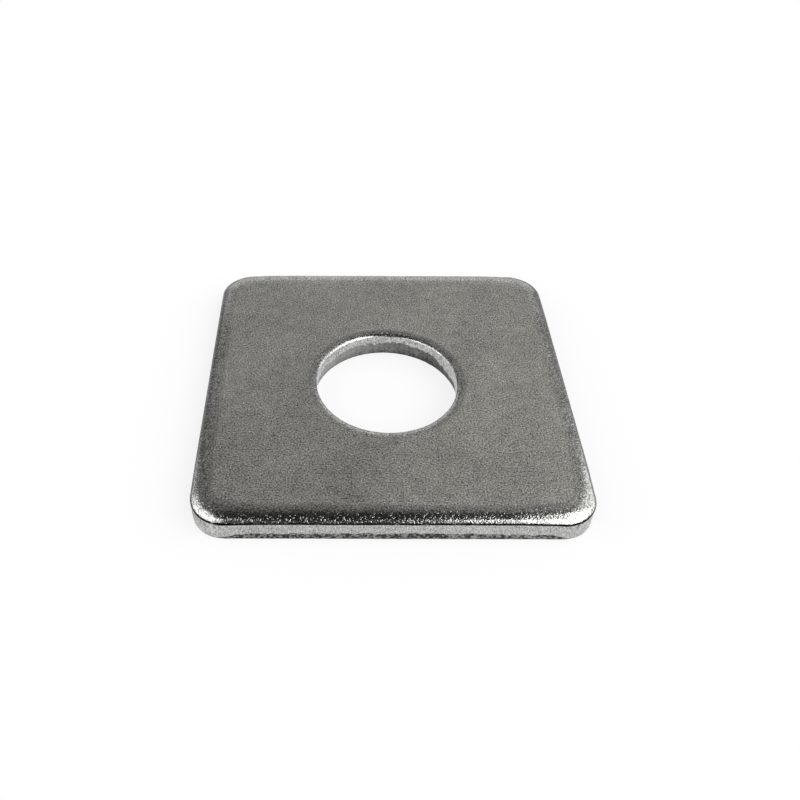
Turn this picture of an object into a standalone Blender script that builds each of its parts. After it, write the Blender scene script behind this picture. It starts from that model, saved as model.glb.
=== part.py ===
"""Square plate washer, blanked and pierced from flat steel in one stroke of a press.

Lengths are metres. The washer lies on the side where the metal broke away, with its rounded side up. The
origin is the middle of the square on the underside, X and Y run along the sides and Z points up.

A sheared edge has three parts, from the punch's side down: the die roll, where the face was drawn down into
a rounded rim; the burnished land, cut straight; and the break-out, where the metal tore and leans back. The
outline and the hole both have them, each at its own size.
"""

import math

import bmesh
import bpy
from mathutils import Matrix, Vector

SIDE = 0.050
THICKNESS = 0.0040
CORNER_RADIUS = 0.0046

ROLL_WIDTH = 0.00225  # outline's die roll, across the face along the straight sides
ROLL_DEPTH = 0.00080  # how far its rim is drawn below the face
CORNER_ROLL_EXTRA_WIDTH = 0.00085  # added at a corner's middle, drawn in from two sides
CORNER_ROLL_EXTRA_DEPTH = 0.00025
CORNER_ROLL_REACH = 0.0100  # along the rim from the corner's middle to where nothing is added any more

BREAK_HEIGHT = 0.00130  # outline's break-out, from the underside up to the land
BREAK_LEAN = 0.00018  # how far it leans back into the metal at the underside
CORNER_BREAK_LEFT = 0.20  # share of the break-out that is left at a corner's middle, where the land runs down

HOLE_DIAMETER = 0.0196
HOLE_OFFSET_Y = -0.0006  # the pierced hole lies this far off the middle
HOLE_ROLL_WIDTH = 0.00120
HOLE_ROLL_DEPTH = 0.00045
HOLE_BREAK_HEIGHT = 0.00190
HOLE_BREAK_LEAN = 0.00040

UNDERSIDE_EDGE_BREAK = 0.00010  # small chamfer that tumbling leaves on both lower rims

ARC_STEPS = 14  # faces round one corner
SIDE_STEPS = 16  # faces along one straight side
ROLL_STEPS = 8  # faces from the land up to the face
HOLE_STEPS = 96  # faces round the hole

PUNCH_OVERRUN = 0.0020  # how far the punch's shape reaches past both faces
MERGE_DISTANCE = 0.00001
SHARP_ANGLE = math.radians(25)

STEEL_COLOUR = (0.46, 0.46, 0.44, 1.0)
STEEL_ROUGHNESS = 0.36


def clear_scene():
    """Removes every object of the file that the script runs in."""
    for item in list(bpy.data.objects):
        bpy.data.objects.remove(item, do_unlink=True)


def new_collection(name):
    """A new collection in the scene."""
    collection = bpy.data.collections.new(name)
    bpy.context.scene.collection.children.link(collection)
    return collection


def steel():
    """Bare steel, dulled by tumbling."""
    material = bpy.data.materials.new("tumbled_steel")
    material.use_nodes = True
    shader = material.node_tree.nodes["Principled BSDF"]
    shader.inputs["Base Color"].default_value = STEEL_COLOUR
    shader.inputs["Metallic"].default_value = 1.0
    shader.inputs["Roughness"].default_value = STEEL_ROUGHNESS
    return material


def sheared_section(roll_width, roll_depth, break_height, break_lean):
    """A sheared edge's section as (depth into the metal, height), from the underside up to the face.

    The die roll is a quarter of an ellipse. It leaves the land upright and meets the face flat.
    """
    section = [
        (break_lean + UNDERSIDE_EDGE_BREAK, 0.0),
        (break_lean, UNDERSIDE_EDGE_BREAK),
        (0.0, break_height),
    ]
    for step in range(ROLL_STEPS + 1):
        angle = math.pi / 2 * step / ROLL_STEPS
        section.append((roll_width * (1 - math.cos(angle)), THICKNESS - roll_depth * (1 - math.sin(angle))))
    return section


def corner_share(distance):
    """How much the rim is shaped as it is at a corner, at a distance along it from the corner's middle."""
    reached = min(distance / CORNER_ROLL_REACH, 1.0)
    return 0.5 + 0.5 * math.cos(math.pi * reached)


def rim_points():
    """Points round the rounded square, anticlockwise, as (point, direction outward, corner share)."""
    corner = SIDE / 2 - CORNER_RADIUS
    half_arc = CORNER_RADIUS * math.pi / 4
    points = []
    for quarter in range(4):
        turn = Matrix.Rotation(quarter * math.pi / 2, 3, "Z")
        for step in range(ARC_STEPS + 1):
            angle = math.pi / 2 * step / ARC_STEPS
            outward = Vector((math.cos(angle), math.sin(angle), 0))
            point = Vector((corner, corner, 0)) + CORNER_RADIUS * outward
            from_middle = CORNER_RADIUS * abs(angle - math.pi / 4)
            points.append((turn @ point, turn @ outward, corner_share(from_middle)))
        for step in range(1, SIDE_STEPS):
            along = 2 * corner * step / SIDE_STEPS
            point = Vector((corner - along, SIDE / 2, 0))
            from_middle = half_arc + min(along, 2 * corner - along)
            points.append((turn @ point, turn @ Vector((0, 1, 0)), corner_share(from_middle)))
    return points


def blank_rings():
    """The blank's rings, from the underside up: every rim point carried along the section it has there."""
    columns = []
    for point, outward, share in rim_points():
        torn = 1 - (1 - CORNER_BREAK_LEFT) * share
        section = sheared_section(
            ROLL_WIDTH + CORNER_ROLL_EXTRA_WIDTH * share,
            ROLL_DEPTH + CORNER_ROLL_EXTRA_DEPTH * share,
            BREAK_HEIGHT * torn,
            BREAK_LEAN * torn,
        )
        columns.append([point - depth * outward + Vector((0, 0, height)) for depth, height in section])
    return zip(*columns)


def loft(name, rings):
    """A closed mesh through rings of as many points each, which run anticlockwise, the lowest first."""
    mesh = bmesh.new()
    loops = [[mesh.verts.new(point) for point in ring] for ring in rings]
    for lower, upper in zip(loops, loops[1:]):
        for here in range(len(lower)):
            after = (here + 1) % len(lower)
            mesh.faces.new((lower[here], lower[after], upper[after], upper[here]))
    mesh.faces.new(reversed(loops[0]))
    mesh.faces.new(loops[-1])
    data = bpy.data.meshes.new(name)
    mesh.to_mesh(data)
    mesh.free()
    data.shade_smooth()
    data.set_sharp_from_angle(angle=SHARP_ANGLE)
    return data


def punch_profile():
    """The hole's outline in X and Z from the axis out, down its outer side and back, past both faces."""
    section = sheared_section(HOLE_ROLL_WIDTH, HOLE_ROLL_DEPTH, HOLE_BREAK_HEIGHT, HOLE_BREAK_LEAN)
    wall = [(HOLE_DIAMETER / 2 + depth, height) for depth, height in reversed(section)]
    above = THICKNESS + PUNCH_OVERRUN
    below = -PUNCH_OVERRUN
    return [(0, above), (wall[0][0], above), *wall, (wall[-1][0], below), (0, below)]


def hole_punch(collection):
    """The turned shape that is taken out of the blank."""
    profile = punch_profile()
    data = bpy.data.meshes.new("hole_punch")
    data.from_pydata([(x, 0, z) for x, z in profile], [(i, i + 1) for i in range(len(profile) - 1)], [])
    punch = bpy.data.objects.new("hole_punch", data)
    punch.location.y = HOLE_OFFSET_Y
    punch.hide_render = True
    punch.display_type = "WIRE"
    turned = punch.modifiers.new("turned", "SCREW")
    turned.axis = "Z"
    turned.angle = 2 * math.pi
    turned.steps = HOLE_STEPS
    turned.render_steps = HOLE_STEPS
    turned.use_merge_vertices = True
    turned.merge_threshold = MERGE_DISTANCE
    collection.objects.link(punch)
    return punch


def plate_washer(collection, punch):
    """The washer: the blank with its hole."""
    washer = bpy.data.objects.new("plate_washer", loft("plate_washer", blank_rings()))
    washer.data.materials.append(steel())
    collection.objects.link(washer)
    hole = washer.modifiers.new("hole", "BOOLEAN")
    hole.operation = "DIFFERENCE"
    hole.solver = "EXACT"
    hole.object = punch
    return washer


def main():
    """Builds the washer in an emptied scene."""
    clear_scene()
    parts = new_collection("square_plate_washer")
    cutters = new_collection("cutters")
    plate_washer(parts, hole_punch(cutters))


main()
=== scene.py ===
"""Looks of the square plate washer: stamped steel on a pale floor, under soft studio light.

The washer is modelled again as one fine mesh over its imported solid, so that the rounded rim, the cut band and
the torn band of its edges can be seen as they are on the real one. Lengths are metres.
"""

import logging
import math
from collections.abc import Callable
from dataclasses import dataclass
from enum import Enum

import bmesh
import bpy
import numpy as np
from mathutils import Matrix, Vector, noise


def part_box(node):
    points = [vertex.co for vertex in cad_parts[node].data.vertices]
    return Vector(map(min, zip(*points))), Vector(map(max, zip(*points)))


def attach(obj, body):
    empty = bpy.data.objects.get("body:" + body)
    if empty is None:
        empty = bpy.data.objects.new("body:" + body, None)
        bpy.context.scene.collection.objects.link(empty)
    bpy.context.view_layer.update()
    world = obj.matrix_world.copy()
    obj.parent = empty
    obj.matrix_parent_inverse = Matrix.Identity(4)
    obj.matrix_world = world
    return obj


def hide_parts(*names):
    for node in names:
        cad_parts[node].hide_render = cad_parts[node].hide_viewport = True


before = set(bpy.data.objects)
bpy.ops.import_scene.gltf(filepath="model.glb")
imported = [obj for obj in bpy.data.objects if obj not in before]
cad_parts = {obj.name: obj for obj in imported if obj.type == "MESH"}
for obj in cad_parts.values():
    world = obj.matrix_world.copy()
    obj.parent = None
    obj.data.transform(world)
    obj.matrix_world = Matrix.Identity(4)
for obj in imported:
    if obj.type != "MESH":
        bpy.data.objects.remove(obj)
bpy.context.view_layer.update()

LOG = logging.getLogger("square_plate_washer")
NODE = "plate_washer"
BODY = "root"
MILLIMETRE = 0.001
NOISE_MEAN = 0.5
RIM_ATTRIBUTE = "rim"

Colour = tuple[float, float, float]
WHITE: Colour = (1.0, 1.0, 1.0)
BLACK: Colour = (0.0, 0.0, 0.0)


class Band(Enum):
    """The masks that the mesh carries for its finish."""

    ROLL = "roll"  # 0 on the face, rising to 1 down the die roll
    WALL = "wall"  # 1 on the cut and torn walls
    TEAR = "tear"  # millimetres below the upper edge of the tear, negative above it
    CREASE = "crease"  # painted shade: the dark line between roll and land
    SMEAR = "smear_and_light"  # how light the punch rubbed the tear, with painted light where the hole's wall faces right; -1 where it didn't


class Signal:
    """A shader value that takes part in Python arithmetic, which adds the Math nodes."""

    def __init__(self, graph: "ShaderGraph", socket: bpy.types.NodeSocket | None) -> None:
        """Wraps one output socket."""
        self.graph = graph
        self.socket = socket

    def _math(self, operation: str, *operands: "Signal | float", clamp: bool = False) -> "Signal":
        """Adds one Math node.

        Args:
            operation: The node's operation.
            operands: Its inputs in order.
            clamp: Whether the result is kept between 0 and 1.

        Returns:
            The node's result.
        """
        inputs = dict(enumerate(operands))
        return self.graph.node("ShaderNodeMath", {"operation": operation, "use_clamp": clamp}, inputs)

    def __add__(self, other: "Signal | float") -> "Signal":
        """self + other."""
        return self._math("ADD", self, other)

    def __radd__(self, other: float) -> "Signal":
        """other + self."""
        return self._math("ADD", other, self)

    def __sub__(self, other: "Signal | float") -> "Signal":
        """self - other."""
        return self._math("SUBTRACT", self, other)

    def __rsub__(self, other: float) -> "Signal":
        """other - self."""
        return self._math("SUBTRACT", other, self)

    def __mul__(self, other: "Signal | float") -> "Signal":
        """self * other."""
        return self._math("MULTIPLY", self, other)

    def __truediv__(self, other: "Signal | float") -> "Signal":
        """self / other."""
        return self._math("DIVIDE", self, other)

    def __pow__(self, other: "Signal | float") -> "Signal":
        """self ** other."""
        return self._math("POWER", self, other)

    def at_least(self, floor: "Signal | float") -> "Signal":
        """self, or the floor where self is lower."""
        return self._math("MAXIMUM", self, floor)

    def clamped(self) -> "Signal":
        """self, kept between 0 and 1."""
        return self._math("ADD", self, 0.0, clamp=True)

    def faded(self, share: "Signal", other: "Signal | float") -> "Signal":
        """self where the share is 0, going over to other where it is 1."""
        return self * (1 - share) + share * other

    def smooth_step(self, low: float, high: float) -> "Signal":
        """Rises smoothly from 0 to 1 as self goes from low to high.

        Args:
            low: Where the rise starts. It may be above high, which turns the rise into a fall.
            high: Where it ends.

        Returns:
            The eased share.
        """
        settings = {"interpolation_type": "SMOOTHSTEP", "clamp": True}
        inputs = {"Value": self, "From Min": low, "From Max": high}
        return self.graph.node("ShaderNodeMapRange", settings, inputs)


@dataclass(frozen=True)
class Fade:
    """A smooth change from nothing to an amount, as a signal goes from one value to another."""

    start: float
    end: float
    amount: float = 1.0

    def of(self, signal: Signal) -> Signal:
        """How much there is of it at a signal."""
        eased = signal.smooth_step(self.start, self.end)
        return eased if self.amount == 1.0 else eased * self.amount


@dataclass(frozen=True)
class Pattern:
    """Noise with blotches of one size, which may have another length along the vector's third part."""

    size: float
    detail: float = 2.0
    roughness: float = 0.5
    length: float | None = None


class ShaderGraph:
    """The nodes of one material or world."""

    def __init__(self, tree: bpy.types.NodeTree) -> None:
        """Starts on an emptied node tree."""
        self.tree = tree
        tree.nodes.clear()

    def node(
        self,
        kind: str,
        settings: dict[str, object] | None = None,
        inputs: dict[str | int, object] | None = None,
        output: str | int = 0,
    ) -> Signal:
        """Adds a node, sets it up and connects it.

        Args:
            kind: The node's type.
            settings: Its properties, set before its sockets.
            inputs: A value or a link for each named or numbered input.
            output: The output that is wanted.

        Returns:
            That output.
        """
        made = self.tree.nodes.new(kind)
        for name, value in (settings or {}).items():
            setattr(made, name, value)
        for name, value in (inputs or {}).items():
            if isinstance(value, Signal):
                self.tree.links.new(value.socket, made.inputs[name])
            else:
                made.inputs[name].default_value = value
        return Signal(self, made.outputs[output] if len(made.outputs) else None)

    def parts(self, vector: Signal) -> tuple[Signal, Signal, Signal]:
        """A vector's parts along X, Y and Z."""
        first = self.node("ShaderNodeSeparateXYZ", {}, {0: vector})
        return tuple(Signal(self, output) for output in first.socket.node.outputs)

    def mix_colour(self, share: Signal, first: Signal | Colour, second: Signal | Colour) -> Signal:
        """Mixes two colours.

        Args:
            share: How much of the second there is.
            first: The colour at share 0.
            second: The colour at share 1.

        Returns:
            The mixed colour.
        """
        sides = [side if isinstance(side, Signal) else (*side, 1.0) for side in (first, second)]
        inputs = {0: share, 6: sides[0], 7: sides[1]}
        return self.node("ShaderNodeMix", {"data_type": "RGBA"}, inputs, output=2)

    def noise(self, vector: Signal, pattern: Pattern) -> Signal:
        """Adds a noise.

        Args:
            vector: Where it is read.
            pattern: Its blotches.

        Returns:
            A value round NOISE_MEAN.
        """
        scale = 1.0 / pattern.size
        if pattern.length is not None:
            stretch = (scale, scale, 1.0 / pattern.length)
            vector = self.node("ShaderNodeVectorMath", {"operation": "MULTIPLY"}, {0: vector, 1: stretch})
            scale = 1.0
        inputs = {"Vector": vector, "Scale": scale, "Detail": pattern.detail, "Roughness": pattern.roughness}
        return self.node("ShaderNodeTexNoise", {}, inputs)

    def attribute(self, name: str, output: str = "Fac") -> Signal:
        """An attribute of the mesh."""
        return self.node("ShaderNodeAttribute", {"attribute_name": name}, output=output)


@dataclass(frozen=True)
class StampedSteel:
    """Bare steel with a fine tumbled grain, a shinier rolled rim, a smooth cut band and a dark torn band, with
    painted shade and painted light in its colour.
    """

    face_colour: Colour = (0.480, 0.473, 0.438)
    roll_colour: Colour = (0.464, 0.464, 0.450)
    land_colour: Colour = (0.442, 0.446, 0.432)
    # dark crumbs of the tear: its own dull steel, darkened further with painted shade
    torn_and_shaded_colour: Colour = (0.030, 0.030, 0.028)
    torn_light_colour: Colour = (0.320, 0.318, 0.306)
    smear_colour: Colour = (0.350, 0.352, 0.340)
    # where the smear is dark: scraped steel and painted shade on the hole's wall
    scraped_and_shaded_colour: Colour = (0.055, 0.055, 0.052)
    # painted shade in the crease between roll and land
    crease_shade_colour: Colour = (0.020, 0.020, 0.019)

    grain: Pattern = Pattern(0.21 * MILLIMETRE, detail=1.5, roughness=0.6)
    smudge: Pattern = Pattern(9.0 * MILLIMETRE, detail=3.0)
    cloud: Pattern = Pattern(1.4 * MILLIMETRE, detail=1.0)
    pit: Pattern = Pattern(1.3 * MILLIMETRE)
    speck: Pattern = Pattern(0.26 * MILLIMETRE, detail=0.0)
    streak: Pattern = Pattern(0.20 * MILLIMETRE, length=0.50 * MILLIMETRE)
    scrape: Pattern = Pattern(0.50 * MILLIMETRE, length=2.5 * MILLIMETRE)
    crumb: Pattern = Pattern(0.38 * MILLIMETRE, detail=3.0, roughness=0.65)
    raised_speck: Fade = Fade(0.60, 0.70)
    raggedness: float = 0.6  # millimetres that a crumb moves the tear's upper edge by
    tear_blur: float = 0.03  # millimetres on either side of that edge

    relief_depth: float = 0.072 * MILLIMETRE
    grain_relief: float = 0.80
    rolled_flat: Fade = Fade(0.1, 0.5, 0.53)  # how much of the grain's relief the roll loses
    roll_streak_relief: float = 0.10
    roll_speck_relief: float = 0.11
    speck_relief: float = 0.04
    land_relief: float = 0.20
    smear_relief: float = 0.6
    crumb_relief: float = 1.4
    unsmeared: Fade = Fade(0.0, -0.5)  # along the smear mask

    rolled_tone: Fade = Fade(0.2, 0.9)
    light_crumb: Fade = Fade(0.47, 0.57)
    smear_cover: float = 0.85
    smear_scrapes: float = 0.9
    smear_crumbs: float = 0.6
    smear_lift: float = 0.1
    painted_shade_below: Fade = Fade(1.7 * MILLIMETRE, 0.0, 0.35)  # painted shade: its darkening towards the underside
    crease_contrast: float = 2.4
    crease_gaps: float = 0.4
    crease_edge: Fade = Fade(0.0, 0.45)
    grain_contrast: float = 3.8
    land_contrast: float = 1.8
    land_grain: float = 1.4
    cloud_contrast: float = 0.5
    smudge_contrast: float = 0.45
    pit_darkness: Fade = Fade(0.70, 0.76, 0.45)
    painted_foot_shade: Fade = Fade(0.38 * MILLIMETRE, 0.0, 0.85)  # painted shade where the wall comes down to the floor

    face_roughness: float = 0.38
    roll_roughness: float = 0.09
    land_roughness: float = 0.28
    torn_roughness: float = 0.50
    roughness_spread: float = 0.16
    polish: Fade = Fade(0.12, 0.45)

    def material(self) -> bpy.types.Material:
        """Builds the finish.

        Returns:
            The material.
        """
        made = bpy.data.materials.new("stamped_steel")
        made.use_nodes = True
        graph = ShaderGraph(made.node_tree)
        metal = SteelPatterns(graph, self)
        inputs = {
            "Base Color": self._tone(graph, metal),
            "Metallic": 1.0,
            "Roughness": self._roughness(metal),
            "Normal": self._relief(graph, metal),
        }
        surface = graph.node("ShaderNodeBsdfPrincipled", {}, inputs)
        graph.node("ShaderNodeOutputMaterial", {}, {"Surface": surface})
        return made

    def _relief(self, graph: ShaderGraph, metal: "SteelPatterns") -> Signal:
        """The small unevenness of each band.

        Args:
            graph: Where its nodes go.
            metal: The masks and patterns.

        Returns:
            The bumped normal.
        """
        tumbled = metal.grain * (self.grain_relief - self.rolled_flat.of(metal.roll))
        tumbled = tumbled + metal.streaks * metal.roll * self.roll_streak_relief
        tumbled = tumbled + metal.specks * (metal.roll * self.roll_speck_relief + self.speck_relief)
        crumbled = self.smear_relief + self.unsmeared.of(metal.smear_and_light) * self.crumb_relief
        height = tumbled * (1 - metal.wall) + metal.streaks * metal.land * self.land_relief
        height = height + metal.crumbs * metal.torn * crumbled
        inputs = {"Strength": 1.0, "Distance": self.relief_depth, "Height": height}
        return graph.node("ShaderNodeBump", {}, inputs)

    def _tone(self, graph: ShaderGraph, metal: "SteelPatterns") -> Signal:
        """The colour of each band, shaded by the grain, the smudges and the pits, with painted shade in the
        crease and at the wall's foot.

        Args:
            graph: Where its nodes go.
            metal: The masks and patterns.

        Returns:
            The colour.
        """
        tone = graph.mix_colour(self.rolled_tone.of(metal.roll), self.face_colour, self.roll_colour)
        tone = graph.mix_colour(metal.land, tone, self.land_colour)
        tone = graph.mix_colour(metal.torn, tone, self._torn_tone(graph, metal))
        # Painted shade: a broken dark line along the crease between roll and land.
        broken = metal.crease * (metal.cloud * self.crease_contrast - self.crease_gaps)
        tone = graph.mix_colour(self.crease_edge.of(broken), tone, self.crease_shade_colour)

        streaked = metal.streaks - NOISE_MEAN + (metal.grain - NOISE_MEAN) * self.land_grain
        shade = (metal.grain - NOISE_MEAN) * (1 - metal.wall) * self.grain_contrast
        shade = shade + streaked * metal.land * self.land_contrast
        shade = shade + (metal.cloud - NOISE_MEAN) * (1 - metal.torn) * self.cloud_contrast
        shade = shade + (metal.smudges - NOISE_MEAN) * self.smudge_contrast + 1.0
        shade = shade * (1 - self.pit_darkness.of(metal.pits))
        shade = shade * (1 - self.painted_foot_shade.of(metal.height) * metal.wall)
        return graph.node("ShaderNodeVectorMath", {"operation": "SCALE"}, {0: tone, "Scale": shade})

    def _torn_tone(self, graph: ShaderGraph, metal: "SteelPatterns") -> Signal:
        """The tear's colour: light and dark crumbs, or a smear where the punch rubbed along it, with painted
        light where the hole's wall faces right and painted shade towards its underside.

        Args:
            graph: Where its nodes go.
            metal: The masks and patterns.

        Returns:
            The colour.
        """
        lit = self.light_crumb.of(metal.crumbs)
        crumbled = graph.mix_colour(lit, self.torn_and_shaded_colour, self.torn_light_colour)
        # Painted light and shade: the smear is lighter where the hole's wall faces right and darker towards the
        # underside.
        light = metal.smear_and_light + (metal.scrapes - NOISE_MEAN) * self.smear_scrapes
        light = light + (metal.crumbs - NOISE_MEAN) * self.smear_crumbs
        light = (light - self.painted_shade_below.of(metal.height) + self.smear_lift).clamped()
        smeared_and_lit = graph.mix_colour(light, self.scraped_and_shaded_colour, self.smear_colour)
        cover = (1 - self.unsmeared.of(metal.smear_and_light)) * self.smear_cover
        return graph.mix_colour(cover, crumbled, smeared_and_lit)

    def _roughness(self, metal: "SteelPatterns") -> Signal:
        """How dull each band is.

        Args:
            metal: The masks and patterns.

        Returns:
            The roughness.
        """
        polished = self.polish.of(metal.roll)
        dullness = self.face_roughness + polished * (self.roll_roughness - self.face_roughness)
        dullness = dullness + metal.land * (self.land_roughness - self.face_roughness)
        dullness = dullness + metal.torn * (self.torn_roughness - self.face_roughness)
        return dullness + (metal.smudges - NOISE_MEAN) * self.roughness_spread


class SteelPatterns:
    """The masks and the noises that the steel's finish is mixed from."""

    def __init__(self, graph: ShaderGraph, finish: StampedSteel) -> None:
        """Reads the mesh's masks and adds the finish's patterns.

        Args:
            graph: Where the nodes go.
            finish: The finish that they are for.
        """
        place = graph.node("ShaderNodeTexCoord", output="Object")
        along_rim = graph.attribute(RIM_ATTRIBUTE, output="Vector")
        self.height = graph.parts(place)[2]
        self.roll, self.wall, tear, self.crease, self.smear_and_light = (graph.attribute(band.value) for band in Band)
        self.grain = graph.noise(place, finish.grain)
        self.smudges = graph.noise(place, finish.smudge)
        self.cloud = graph.noise(place, finish.cloud)
        self.pits = graph.noise(place, finish.pit)
        self.specks = finish.raised_speck.of(graph.noise(place, finish.speck))
        self.crumbs = graph.noise(place, finish.crumb)
        self.streaks = graph.noise(along_rim, finish.streak)
        self.scrapes = graph.noise(along_rim, finish.scrape)
        ragged = tear + (self.crumbs - NOISE_MEAN) * finish.raggedness
        self.torn = self.wall * ragged.smooth_step(-finish.tear_blur, finish.tear_blur)
        self.land = self.wall - self.torn


@dataclass(frozen=True)
class ShearedEdge:
    """Sizes of one sheared edge: its die roll above, its torn break-out below and the land between."""

    roll_width: float
    roll_depth: float
    extra_width: float  # added to the roll where the metal lies nearer to the camera than the rim
    rim_slope: float  # the roll's slope where it meets the land
    flattening: float  # how much wider its curve is at the face than at the land
    roll_rings: int
    torn_height: float
    torn_lean: float
    torn_spread: float  # the tear's unevenness, as a share of its height
    torn_tilt: float  # how much higher it is on the hole's far side, as a share of its height
    wall_rings: int
    creased: bool
    smeared_and_lit: bool

    def roll_stations(self, fine_steps: int = 16) -> list[tuple[float, float]]:
        """The roll's rings above the land. It is tight at the land and opens out towards the face.

        Args:
            fine_steps: How many steps the curve is worked out in from one ring to the next.

        Returns:
            How far in from the land and how far up each ring lies, the land's own ring first.
        """
        slope = np.linspace(self.rim_slope, 0.0, self.roll_rings * fine_steps + 1)
        radius = 1 + self.flattening * (1 - slope / self.rim_slope) ** 3
        away = np.cumsum(radius * np.cos(slope))
        up = np.cumsum(radius * np.sin(slope))
        away = (away - away[0]) / (away[-1] - away[0]) * self.roll_width
        up = (up - up[0]) / (up[-1] - up[0]) * self.roll_depth
        return [(float(x), float(z)) for x, z in zip(away[::fine_steps], up[::fine_steps])]


@dataclass(frozen=True)
class Wave:
    """One layer of unevenness along a rim."""

    millimetres: float
    strength: float


@dataclass
class NearestRim:
    """The rim beside some vertices, one row for each."""

    spots: np.ndarray  # the nearest rim points
    inward: np.ndarray  # the directions into the metal there
    corner: np.ndarray  # how much of the corners' extra roll they have


class Vertices:
    """A mesh's vertices while they are shaped, with what is written on them."""

    def __init__(self, mesh: bpy.types.Mesh) -> None:
        """Reads where the vertices are.

        Args:
            mesh: The mesh.
        """
        flat = np.empty(len(mesh.vertices) * 3)
        mesh.vertices.foreach_get("co", flat)
        self.points = flat.reshape(-1, 3)
        self.along_rim = np.zeros_like(self.points)
        self.masks = {band: np.zeros(len(self.points)) for band in Band}

    def write(self, mesh: bpy.types.Mesh) -> None:
        """Moves the mesh's vertices and adds the masks and the place along the rim.

        Args:
            mesh: The mesh that they were read from.
        """
        mesh.vertices.foreach_set("co", self.points.ravel())
        for band, values in self.masks.items():
            mesh.attributes.new(band.value, "FLOAT", "POINT").data.foreach_set("value", values)
        rim = mesh.attributes.new(RIM_ATTRIBUTE, "FLOAT_VECTOR", "POINT")
        rim.data.foreach_set("vector", self.along_rim.ravel())
        mesh.update()


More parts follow.
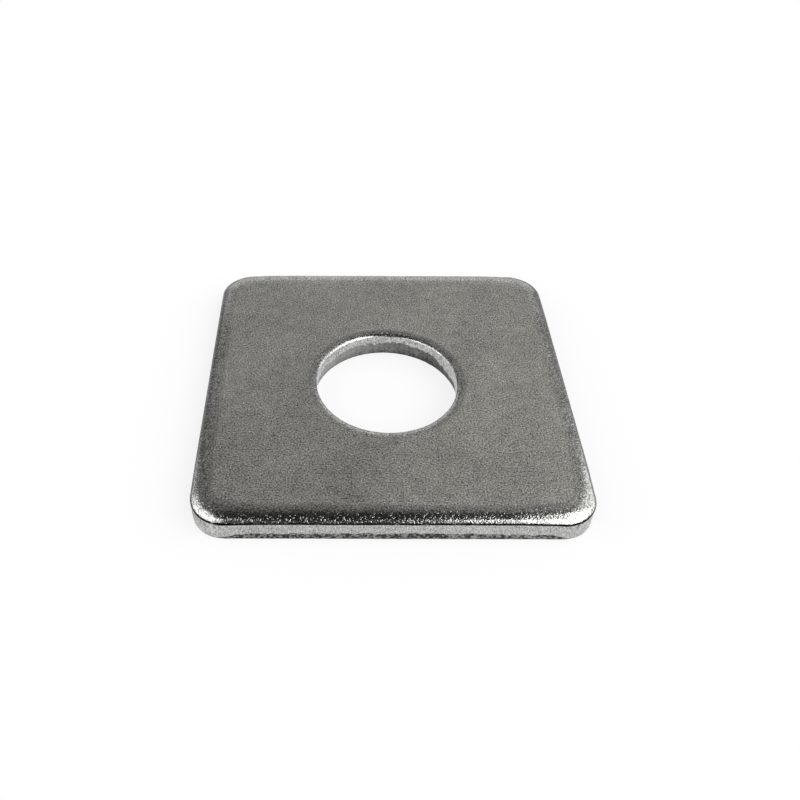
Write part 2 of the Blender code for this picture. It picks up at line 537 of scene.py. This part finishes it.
@dataclass(frozen=True)
class SquareWasher:
    """The plate with its punched hole, as one closed mesh of rings round the hole and round the outline."""

    side: float
    thickness: float
    corner_radius: float = 4.6 * MILLIMETRE
    hole_radius: float = 9.8 * MILLIMETRE
    hole_offset: float = -0.6 * MILLIMETRE
    corner_extra_width: float = 0.85 * MILLIMETRE
    corner_extra_depth: float = 0.25 * MILLIMETRE
    corner_reach: float = 10.0 * MILLIMETRE
    rim_break: float = 0.10 * MILLIMETRE
    hole_zone: float = 5.0 * MILLIMETRE  # a vertex this near to the hole's wall belongs to the hole
    outline: ShearedEdge = ShearedEdge(
        roll_width=2.60 * MILLIMETRE,
        roll_depth=0.87 * MILLIMETRE,
        extra_width=0.55 * MILLIMETRE,
        rim_slope=math.radians(64),
        flattening=4.2,
        roll_rings=20,
        torn_height=1.35 * MILLIMETRE,
        torn_lean=0.13 * MILLIMETRE,
        torn_spread=0.30,
        torn_tilt=0.0,
        wall_rings=22,
        creased=True,
        smeared_and_lit=False,
    )
    hole: ShearedEdge = ShearedEdge(
        roll_width=1.40 * MILLIMETRE,
        roll_depth=0.37 * MILLIMETRE,
        extra_width=0.45 * MILLIMETRE,
        rim_slope=math.radians(52),
        flattening=3.8,
        roll_rings=12,
        torn_height=1.95 * MILLIMETRE,
        torn_lean=0.40 * MILLIMETRE,
        torn_spread=0.33,
        torn_tilt=0.24,
        wall_rings=24,
        creased=False,
        smeared_and_lit=True,
    )

    wobble: float = 0.035 * MILLIMETRE  # how far the crease wanders up and down
    wobble_waves: tuple[Wave, ...] = (Wave(2.2, 1.0), Wave(0.7, 0.6))
    tear_waves: tuple[Wave, ...] = (Wave(6.0, 1.0), Wave(1.6, 0.6), Wave(0.45, 0.5))
    tear_range: tuple[float, float] = (0.05, 2.2)  # least and most, as shares of the tear's height
    corner_tear: float = 0.1  # share of the tear that is left at a corner's middle
    corner_tear_growth: float = 2.2  # how fast it comes back along the rim
    tear_step: float = 0.02 * MILLIMETRE  # how far the tear's upper edge stands back from the land
    tear_step_height: float = 0.06 * MILLIMETRE
    crumb_size: float = 0.35 * MILLIMETRE
    crumb_depth: float = 0.05 * MILLIMETRE
    roll_mask_start: float = 0.25
    roll_mask_growth: float = 1.6
    crease_ring_height: float = 0.12  # share of the roll's depth that the crease reaches up
    crease_ring_strength: float = 0.6
    smear_mean: float = 0.5
    painted_light_turn: float = 0.55  # painted light: how much lighter the hole's smear is where the wall faces right
    arc_cuts: int = 40
    side_cuts: int = 200
    smooth_angle: float = math.radians(32)
    tolerance: float = 0.001 * MILLIMETRE

    def build(self) -> bpy.types.Object:
        """Models the washer.

        Returns:
            The washer's object, which carries its masks as attributes.
        """
        bpy.ops.object.select_all(action="DESELECT")
        land_top = self.thickness - self.outline.roll_depth
        bpy.ops.mesh.primitive_plane_add(size=self.side, location=(0, 0, land_top))
        washer = bpy.context.object
        washer.name = "stamped_plate_washer"
        bpy.ops.object.mode_set(mode="EDIT")
        self._round_outline()
        self._raise_roll()
        self._draw_wall(land_top)
        self._punch_hole()
        self._close_face(self.thickness)
        self._close_face(0.0)
        bpy.ops.mesh.select_all(action="SELECT")
        bpy.ops.mesh.normals_make_consistent(inside=False)
        self._mark_creases(land_top)
        bpy.ops.object.mode_set(mode="OBJECT")
        bpy.ops.object.transform_apply(location=True, rotation=True, scale=True)
        bpy.ops.object.shade_smooth_by_angle(angle=self.smooth_angle, keep_sharp_edges=True)
        self._shape(washer.data)
        return washer

    def _select_edges(self, test: Callable[[bmesh.types.BMEdge], bool]) -> None:
        """Selects the edges that pass a test, and nothing else.

        Args:
            test: Says whether an edge is wanted.
        """
        bpy.ops.mesh.select_all(action="DESELECT")
        bpy.ops.mesh.select_mode(type="EDGE")
        mesh = bmesh.from_edit_mesh(bpy.context.object.data)
        for edge in mesh.edges:
            if test(edge):
                edge.select_set(True)
        bmesh.update_edit_mesh(bpy.context.object.data)

    def _level(self, edge: bmesh.types.BMEdge, height: float) -> bool:
        """Whether both ends of an edge lie at a height, as the object will stand."""
        base = bpy.context.object.location.z
        return all(abs(corner.co.z + base - height) < self.tolerance for corner in edge.verts)

    def _round_outline(self) -> None:
        """Rounds the plane's corners and cuts its sides into short edges."""
        bpy.ops.mesh.select_all(action="SELECT")
        bpy.ops.mesh.bevel(offset=self.corner_radius, segments=self.arc_cuts, profile=0.5, affect="VERTICES")
        bpy.ops.mesh.select_all(action="SELECT")
        bpy.ops.mesh.delete(type="ONLY_FACE")
        straight = self.side - 2 * self.corner_radius
        self._select_edges(lambda edge: edge.calc_length() > straight / 2)
        bpy.ops.mesh.subdivide(number_cuts=self.side_cuts - 1)
        bpy.ops.mesh.select_all(action="SELECT")
        bpy.ops.mesh.edge_face_add()
        mesh = bmesh.from_edit_mesh(bpy.context.object.data)
        if next(iter(mesh.faces)).normal.z < 0:
            bpy.ops.mesh.flip_normals()

    def _raise_roll(self) -> None:
        """Insets the face ring by ring up the outline's roll, and opens it."""
        stations = self.outline.roll_stations()
        for (before_in, before_up), (after_in, after_up) in zip(stations, stations[1:]):
            bpy.ops.mesh.inset(thickness=after_in - before_in, depth=after_up - before_up)
        bpy.ops.mesh.delete(type="ONLY_FACE")

    def _draw_wall(self, land_top: float) -> None:
        """Extrudes the outline's wall down from the land's upper edge.

        Args:
            land_top: The height of that edge.
        """
        self._select_edges(lambda edge: edge.is_boundary and self._level(edge, land_top))
        for drop in self._wall_drops(land_top, self.outline.wall_rings):
            bpy.ops.mesh.extrude_region_move(TRANSFORM_OT_translate={"value": (0, 0, -drop)})

    def _wall_drops(self, height: float, rings: int) -> list[float]:
        """How far each ring of a wall lies below the one before.

        Args:
            height: The wall's height.
            rings: How many rings it has, with a last short one for the broken rim.

        Returns:
            The drops, from the top.
        """
        return [(height - self.rim_break) / rings] * rings + [self.rim_break]

    def _punch_hole(self) -> None:
        """Adds the hole's ring at the face, in the middle, and extrudes it down its roll and its wall."""
        bpy.ops.mesh.select_all(action="DESELECT")
        count = 4 * (self.arc_cuts + self.side_cuts)
        radius = self.hole_radius + self.hole.roll_width
        centre = Vector((0, 0, self.thickness))
        bpy.ops.mesh.primitive_circle_add(vertices=count, radius=radius, location=centre)
        for away, up in reversed(self.hole.roll_stations()[:-1]):
            height = self.thickness - self.hole.roll_depth + up
            radius = self._narrow_ring(radius, self.hole_radius + away, centre.z - height)
            centre.z = height
        for drop in self._wall_drops(centre.z, self.hole.wall_rings):
            bpy.ops.mesh.extrude_region_move(TRANSFORM_OT_translate={"value": (0, 0, -drop)})

    def _narrow_ring(self, radius: float, wanted: float, drop: float) -> float:
        """Extrudes the selected ring down and scales it to a radius.

        Args:
            radius: Its radius now.
            wanted: The radius that it gets.
            drop: How far down it goes.

        Returns:
            The new radius.
        """
        bpy.ops.mesh.extrude_region_move(TRANSFORM_OT_translate={"value": (0, 0, -drop)})
        share = wanted / radius
        bpy.ops.transform.resize(value=(share, share, 1), center_override=(0, 0, 0))
        return wanted

    def _close_face(self, height: float) -> None:
        """Bridges the outline's and the hole's open rings at a height."""
        self._select_edges(lambda edge: edge.is_boundary and self._level(edge, height))
        bpy.ops.mesh.bridge_edge_loops()

    def _mark_creases(self, land_top: float) -> None:
        """Keeps the shading apart where the roll leaves the face and where it meets the land.

        Args:
            land_top: The height at which the outline's roll meets its land.
        """
        levels = (land_top, self.thickness - self.hole.roll_depth, self.thickness)
        self._select_edges(lambda edge: any(self._level(edge, level) for level in levels))
        bpy.ops.mesh.mark_sharp()

    def _shape(self, mesh: bpy.types.Mesh) -> None:
        """Draws the corners' roll deeper, leans and tears the walls, and writes the masks.

        Args:
            mesh: The washer's mesh, with plain walls and an even roll.
        """
        vertices = Vertices(mesh)
        points = vertices.points
        inner = np.hypot(points[:, 0], points[:, 1]) < self.hole_radius + self.hole_zone
        points[inner, 1] += self.hole_offset
        self._shape_edge(vertices, ~inner, self.outline, self._outline_rim(points[~inner]))
        self._shape_edge(vertices, inner, self.hole, self._hole_rim(points[inner]))
        vertices.write(mesh)

    def _outline_rim(self, points: np.ndarray) -> NearestRim:
        """Finds the outline nearest to points beside it.

        Args:
            points: The points, one to a row.

        Returns:
            The outline beside them.
        """
        core = self.side / 2 - self.corner_radius
        flat = points[:, :2]
        nearest = np.clip(flat, -core, core)
        along_x = np.abs(flat[:, 0]) > np.abs(flat[:, 1])
        at_corner = np.all(np.abs(flat) > core + self.tolerance, axis=1)
        straight = np.where(along_x[:, None], [[1.0, 0.0]], [[0.0, 1.0]]) * np.sign(flat)
        outward = np.where(at_corner[:, None], flat - nearest, straight)
        outward /= np.linalg.norm(outward, axis=1)[:, None]
        beside = np.where(along_x[:, None], [[0.0, 1.0]], [[1.0, 0.0]]) * flat
        arc = nearest + outward * self.corner_radius
        spots = np.where(at_corner[:, None], arc, beside + outward * self.side / 2)
        turned = np.abs(np.arctan2(np.abs(outward[:, 1]), np.abs(outward[:, 0])) - math.pi / 4)
        run_out = np.where(at_corner, 0.0, core - np.abs(beside).sum(axis=1))
        reached = (self.corner_radius * turned + run_out) / self.corner_reach
        return NearestRim(spots, -outward, 0.5 + 0.5 * np.cos(math.pi * np.clip(reached, 0, 1)))

    def _hole_rim(self, points: np.ndarray) -> NearestRim:
        """Finds the hole's wall nearest to points round it.

        Args:
            points: The points, one to a row.

        Returns:
            The wall beside them, which has no corners.
        """
        centre = np.array([0.0, self.hole_offset])
        outward = points[:, :2] - centre
        outward /= np.linalg.norm(outward, axis=1)[:, None]
        return NearestRim(centre + outward * self.hole_radius, outward, np.zeros(len(points)))

    def _shape_edge(self, vertices: Vertices, chosen: np.ndarray, edge: ShearedEdge, rim: NearestRim) -> None:
        """Shapes the vertices of one sheared edge, in place, and fills in their masks.

        Args:
            vertices: All vertices.
            chosen: Which of them belong to this edge.
            edge: The edge's sizes.
            rim: The rim beside the chosen ones.
        """
        height = vertices.points[chosen, 2]
        depth = np.einsum("ij,ij->i", vertices.points[chosen, :2] - rim.spots, rim.inward)
        land_top = self.thickness - edge.roll_depth
        above = height > land_top - self.tolerance
        drawn = np.clip((self.thickness - height) / edge.roll_depth, 0, 1)
        near_crease = np.where(above, drawn, height / land_top)
        waves = self._waves(rim.spots, self.wobble_waves)
        lowered = height + (self.wobble * waves - self.corner_extra_depth * rim.corner) * near_crease
        towards_camera = np.clip(-rim.inward[:, 1], 0, 1) ** 2
        wider = self.corner_extra_width * rim.corner + edge.extra_width * towards_camera
        deeper = depth + np.where(above, wider * np.clip(depth / edge.roll_width, 0, 1), 0)
        torn_top = self._torn_top(rim, edge)
        deeper += np.where(above, 0, self._set_back(rim, edge, lowered, torn_top))
        deeper += np.where(lowered < self.tolerance, self.rim_break, 0)

        vertices.points[chosen, :2] = rim.spots + rim.inward * deeper[:, None]
        vertices.points[chosen, 2] = lowered
        vertices.along_rim[chosen] = np.column_stack([rim.spots, deeper + self.thickness - lowered])
        in_roll = above & (height < self.thickness - self.tolerance)
        at_land_top = np.abs(height - land_top) < self.tolerance
        first_ring = in_roll & (height < land_top + edge.roll_depth * self.crease_ring_height)
        rolled = np.clip(self.roll_mask_growth * drawn + self.roll_mask_start, 0, 1)
        smear_and_light = np.clip(self.smear_mean - self.painted_light_turn * rim.inward[:, 0], 0, 1)
        masks = vertices.masks
        masks[Band.ROLL][chosen] = np.where(in_roll, rolled, 0)
        masks[Band.WALL][chosen] = ((~above) | at_land_top) & (lowered > self.tolerance)
        masks[Band.TEAR][chosen] = (torn_top - lowered) / MILLIMETRE
        # the crease mask, where painted shade darkens the line between roll and land
        crease = np.maximum(at_land_top, self.crease_ring_strength * first_ring)
        masks[Band.CREASE][chosen] = crease if edge.creased else 0
        masks[Band.SMEAR][chosen] = smear_and_light if edge.smeared_and_lit else -1

    def _torn_top(self, rim: NearestRim, edge: ShearedEdge) -> np.ndarray:
        """The ragged height at which the cut band ends and the tear starts.

        Args:
            rim: The rim beside some vertices.
            edge: The edge's sizes.

        Returns:
            The height beside each of them.
        """
        ragged = self._waves(rim.spots, self.tear_waves)
        share = np.clip(1 + edge.torn_tilt * rim.inward[:, 1] + edge.torn_spread * ragged, *self.tear_range)
        left = np.clip(self.corner_tear_growth * (1 - rim.corner), self.corner_tear, 1)
        return edge.torn_height * share * left

    def _set_back(
        self, rim: NearestRim, edge: ShearedEdge, height: np.ndarray, torn_top: np.ndarray
    ) -> np.ndarray:
        """How far a torn wall stands back into the metal.

        Args:
            rim: The wall's rim.
            edge: The edge's sizes.
            height: The height of each of the wall's points.
            torn_top: The height at which the tear starts there.

        Returns:
            The depth at each point, 0 on the land.
        """
        below = np.clip(1 - height / np.maximum(torn_top, self.tolerance), 0, 1)
        torn = np.clip((torn_top - height) / self.tear_step_height + 0.5, 0, 1)
        return edge.torn_lean * below + (self.tear_step + self._crumble(rim.spots, height)) * torn

    def _waves(self, spots: np.ndarray, layers: tuple[Wave, ...]) -> np.ndarray:
        """Uneven waves along the rim.

        Args:
            spots: Points on the rim, one to a row.
            layers: The waves that are added up.

        Returns:
            A value round 0 at each point.
        """
        total = np.zeros(len(spots))
        for wave in layers:
            size = wave.millimetres * MILLIMETRE
            places = np.column_stack([spots / size, np.full(len(spots), wave.millimetres)])
            total += wave.strength * np.array([noise.noise(Vector(place)) for place in places])
        return total

    def _crumble(self, spots: np.ndarray, height: np.ndarray) -> np.ndarray:
        """How far the torn metal stands back, grain by grain."""
        places = np.column_stack([spots, height]) / self.crumb_size
        return self.crumb_depth * np.array([0.5 + 0.5 * noise.noise(Vector(place)) for place in places])


@dataclass(frozen=True)
class PaleFloor:
    """A floor that shows white and keeps the shadow. The glow that the washer's walls mirror carries painted
    shade beside, behind and to the left of the washer.
    """

    size: float = 4.0
    gap: float = 0.02 * MILLIMETRE  # below the washer
    colour: Colour = (0.95, 0.95, 0.95)
    white_share: float = 0.80  # how white it shows near the washer, where the rest keeps the shadow
    shadow_reach: tuple[float, float] = (64 * MILLIMETRE, 160 * MILLIMETRE)
    # Painted shade in the glow that the washer's walls mirror:
    behind: Fade = Fade(15 * MILLIMETRE, 28 * MILLIMETRE, 0.4)  # along Y
    beyond_front: Fade = Fade(-18 * MILLIMETRE, -10 * MILLIMETRE)  # along Y
    beside: Fade = Fade((24.0 * MILLIMETRE) ** 2, (26.5 * MILLIMETRE) ** 2, 0.75)  # along X squared
    left: Fade = Fade(-23.5 * MILLIMETRE, -28.0 * MILLIMETRE, 0.55)  # along X

    def build(self) -> None:
        """Adds the floor."""
        bpy.ops.object.select_all(action="DESELECT")
        bpy.ops.mesh.primitive_plane_add(size=self.size, location=(0, 0, -self.gap))
        floor = bpy.context.object
        floor.name = "floor"
        floor.data.materials.append(self._material())

    def _material(self) -> bpy.types.Material:
        """Builds the floor's material.

        Returns:
            The material: matt, and glowing for what the camera and the steel see, with painted shade in the
                glow that the steel mirrors near the washer.
        """
        made = bpy.data.materials.new("pale_floor")
        made.use_nodes = True
        graph = ShaderGraph(made.node_tree)
        place = graph.node("ShaderNodeTexCoord", output="Object")
        seen = graph.node("ShaderNodeLightPath", output="Is Camera Ray")
        mirrored = graph.node("ShaderNodeLightPath", output="Is Glossy Ray")
        across, back, _ = graph.parts(place)
        # Painted shade: the glow that the steel mirrors is dimmer beside, left of and behind the washer.
        side = (self.beside.of(across * across) * self.beyond_front.of(back)).at_least(self.left.of(across))
        painted_shade = mirrored * side.at_least(self.behind.of(back))
        glow = graph.mix_colour(painted_shade, WHITE, BLACK)
        away = graph.node("ShaderNodeVectorMath", {"operation": "LENGTH"}, {0: place}, output="Value")
        plain = away.smooth_step(*self.shadow_reach)
        share = (seen + mirrored) * (plain * (1 - self.white_share) + self.white_share)
        matt = graph.node("ShaderNodeBsdfDiffuse", {}, {"Color": (*self.colour, 1.0)})
        white = graph.node("ShaderNodeEmission", {}, {"Color": glow, "Strength": 1.0})
        mixed = graph.node("ShaderNodeMixShader", {}, {0: share, 1: matt, 2: white})
        graph.node("ShaderNodeOutputMaterial", {}, {"Surface": mixed})
        return made


class Heading:
    """The direction in which the surroundings are seen."""

    def __init__(self, graph: ShaderGraph) -> None:
        """Takes the direction apart.

        Its parts are sideways, backwards and up. Laid level, they are aside, which is 1 straight to the
        right, and turned, which is 1 straight behind the washer and -1 towards the camera.

        Args:
            graph: Where the nodes go.
        """
        towards = graph.node("ShaderNodeTexCoord", output="Generated")
        self.sideways, self.backwards, self.up = graph.parts(towards)
        level_length = (1 - self.up * self.up) ** 0.5
        self.turned = self.backwards / level_length
        self.aside = self.sideways / level_length


@dataclass(frozen=True)
class SideLight:
    """A pale panel on one side of the washer, with a brighter window in it."""

    side: float  # 1 on the right, -1 on the left
    panel_level: float  # low down
    panel_fades: tuple[Fade, ...]  # along up, taken off its level
    panel_start: Fade  # along turned
    panel_end: float  # along turned
    panel_longer: Fade  # along up
    panel_shorter: Fade  # along up
    panel_blur: float
    panel_inner: Fade  # along the way out to the side
    panel_top: Fade  # along up
    window_level: float
    window_fade: Fade  # along turned, the share taken off its level
    window_end: float | None  # along turned, or none where it follows the panel's end
    window_end_fade: Fade  # counted from there
    window_inner: Fade  # along the way out to the side
    window_top: Fade  # along up
    window_top_slant: float
    window_foot: Fade  # along up
    window_foot_slant: float

    def added_to(self, level: Signal, heading: Heading) -> Signal:
        """Lays the panel and the window over what is there.

        Args:
            level: The light in each direction without them.
            heading: The direction.

        Returns:
            The light with them.
        """
        up = heading.up
        turned = heading.turned
        outward = heading.aside * self.side
        end = self.panel_end + self.panel_longer.of(up) - self.panel_shorter.of(up)
        panel = (end - turned).smooth_step(-self.panel_blur, self.panel_blur)
        panel = self.panel_start.of(turned) * panel * self.panel_inner.of(outward) * self.panel_top.of(up)
        panel_level = self.panel_level
        for fade in self.panel_fades:
            panel_level = panel_level - fade.of(up)
        level = level.faded(panel, panel_level)

        window_end = end if self.window_end is None else self.window_end
        window = self.window_end_fade.of(window_end - turned) * self.window_inner.of(outward)
        window = window * self.window_top.of(up - outward * self.window_top_slant)
        window = window * self.window_foot.of(up + outward * self.window_foot_slant)
        return level.faded(window, (1 - self.window_fade.of(turned)) * self.window_level)


@dataclass(frozen=True)
class Surroundings:
    """A studio with a light on each side, grey behind, and dark overhead and behind the camera."""

    grey_level: float = 0.24
    grey_middle: Fade = Fade(0.92, 0.70, 0.07)  # along up
    grey_slant: float = 0.16  # brighter to the right
    grey_least: float = 0.15
    low: Fade = Fade(0.50, 0.41)  # along up
    low_level: float = 0.25
    low_slant: float = 0.14
    low_facing: Fade = Fade(0.78, 0.93, 0.46)  # along turned
    front: Fade = Fade(-0.10, -0.45)  # along backwards
    front_level: float = 0.03
    front_upper: Fade = Fade(0.35, 0.55, 0.08)  # along up
    overhead: Fade = Fade(0.85, 0.95)  # along up
    overhead_slant: float = 0.25  # reaches lower at the front than behind
    overhead_level: float = 0.04
    right: SideLight = SideLight(
        side=1.0,
        panel_level=1.60,
        panel_fades=(Fade(0.25, 0.45, 0.25), Fade(0.68, 0.78, 0.75)),
        panel_start=Fade(-0.5, 0.0),
        panel_end=0.62,
        panel_longer=Fade(0.25, 0.40, 0.04),
        panel_shorter=Fade(0.68, 0.78, 0.16),
        panel_blur=0.03,
        panel_inner=Fade(0.22, 0.42),
        panel_top=Fade(0.90, 0.84),
        window_level=3.2,
        window_fade=Fade(0.0, 1.0, 0.0),
        window_end=0.34,
        window_end_fade=Fade(0.0, 0.24),
        window_inner=Fade(0.22, 0.42),
        window_top=Fade(0.842, 0.804),
        window_top_slant=0.12,
        window_foot=Fade(0.44, 0.54),
        window_foot_slant=0.20,
    )
    left: SideLight = SideLight(
        side=-1.0,
        panel_level=1.15,
        panel_fades=(Fade(0.10, 0.33, 0.70),),
        panel_start=Fade(-0.2, 0.2),
        panel_end=0.63,
        panel_longer=Fade(0.20, 0.35, 0.03),
        panel_shorter=Fade(0.57, 0.86, 0.42),
        panel_blur=0.08,
        panel_inner=Fade(0.30, 0.60),
        panel_top=Fade(0.93, 0.86),
        window_level=2.1,
        window_fade=Fade(0.0, 0.35, 0.45),
        window_end=None,
        window_end_fade=Fade(0.02, 0.18),
        window_inner=Fade(0.34, 0.60),
        window_top=Fade(0.91, 0.80),
        window_top_slant=0.0,
        window_foot=Fade(0.75, 0.85),
        window_foot_slant=0.63,
    )

    def build(self) -> None:
        """Makes the world. The camera itself sees it white."""
        world = bpy.data.worlds.new("studio")
        bpy.context.scene.world = world
        world.use_nodes = True
        graph = ShaderGraph(world.node_tree)
        heading = Heading(graph)
        level = self._walls(heading)
        for light in (self.right, self.left):
            level = light.added_to(level, heading)
        seen = graph.node("ShaderNodeLightPath", output="Is Camera Ray")
        level = level.faded(seen, 1.0)
        sky = graph.node("ShaderNodeBackground", {}, {"Color": (*WHITE, 1.0), "Strength": level})
        graph.node("ShaderNodeOutputWorld", {}, {"Surface": sky})

    def _walls(self, heading: Heading) -> Signal:
        """The light that comes from everything but the side lights.

        Args:
            heading: The direction.

        Returns:
            The light in it.
        """
        up = heading.up
        grey = self.grey_level + self.grey_middle.of(up) + heading.sideways * self.grey_slant
        low_light = self.low_level + self.low_facing.of(heading.turned) + heading.aside * self.low_slant
        behind = grey.at_least(self.grey_least).faded(self.low.of(up), low_light)
        front_light = self.front_level + self.front_upper.of(up)
        level = behind.faded(self.front.of(heading.backwards), front_light)
        overhead = self.overhead.of(up - heading.backwards * self.overhead_slant)
        return level.faded(overhead, self.overhead_level)


@dataclass(frozen=True)
class Viewpoint:
    """Where the photograph was taken from. Angles are degrees, and the camera looks along +Y."""

    place: tuple[float, float, float] = (-6.83 * MILLIMETRE, -84.76 * MILLIMETRE, 82.39 * MILLIMETRE)
    down: float = 44.38
    turn: float = -0.15
    tilt: float = 0.27
    lens: float = 37.08
    sensor: float = 36.0
    shift: float = 0.0757
    near: float = 5 * MILLIMETRE

    def place_camera(self) -> None:
        """Adds the camera and makes it the scene's."""
        settings = bpy.data.cameras.new("camera")
        settings.lens = self.lens
        settings.sensor_width = self.sensor
        settings.shift_x = self.shift
        settings.clip_start = self.near
        camera = bpy.data.objects.new("camera", settings)
        turn = Matrix.Rotation(math.radians(self.turn), 4, "Z")
        pitch = Matrix.Rotation(math.radians(90 - self.down), 4, "X")
        roll = Matrix.Rotation(math.radians(self.tilt), 4, "Z")
        camera.matrix_world = Matrix.Translation(self.place) @ turn @ pitch @ roll
        bpy.context.collection.objects.link(camera)
        bpy.context.scene.camera = camera


def main() -> None:
    """Builds the washer and its stage, and logs the washer's face count."""
    logging.basicConfig(level=logging.INFO, format="%(name)s: %(message)s")
    lowest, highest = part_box(NODE)
    washer = SquareWasher(side=highest.x - lowest.x, thickness=highest.z - lowest.z).build()
    washer.data.materials.append(StampedSteel().material())
    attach(washer, BODY)
    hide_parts(NODE)
    LOG.info("%s: %d faces", washer.name, len(washer.data.polygons))
    PaleFloor().build()
    Surroundings().build()
    Viewpoint().place_camera()
    bpy.context.scene.view_settings.view_transform = "Standard"


if __name__ == "__main__":
    main()
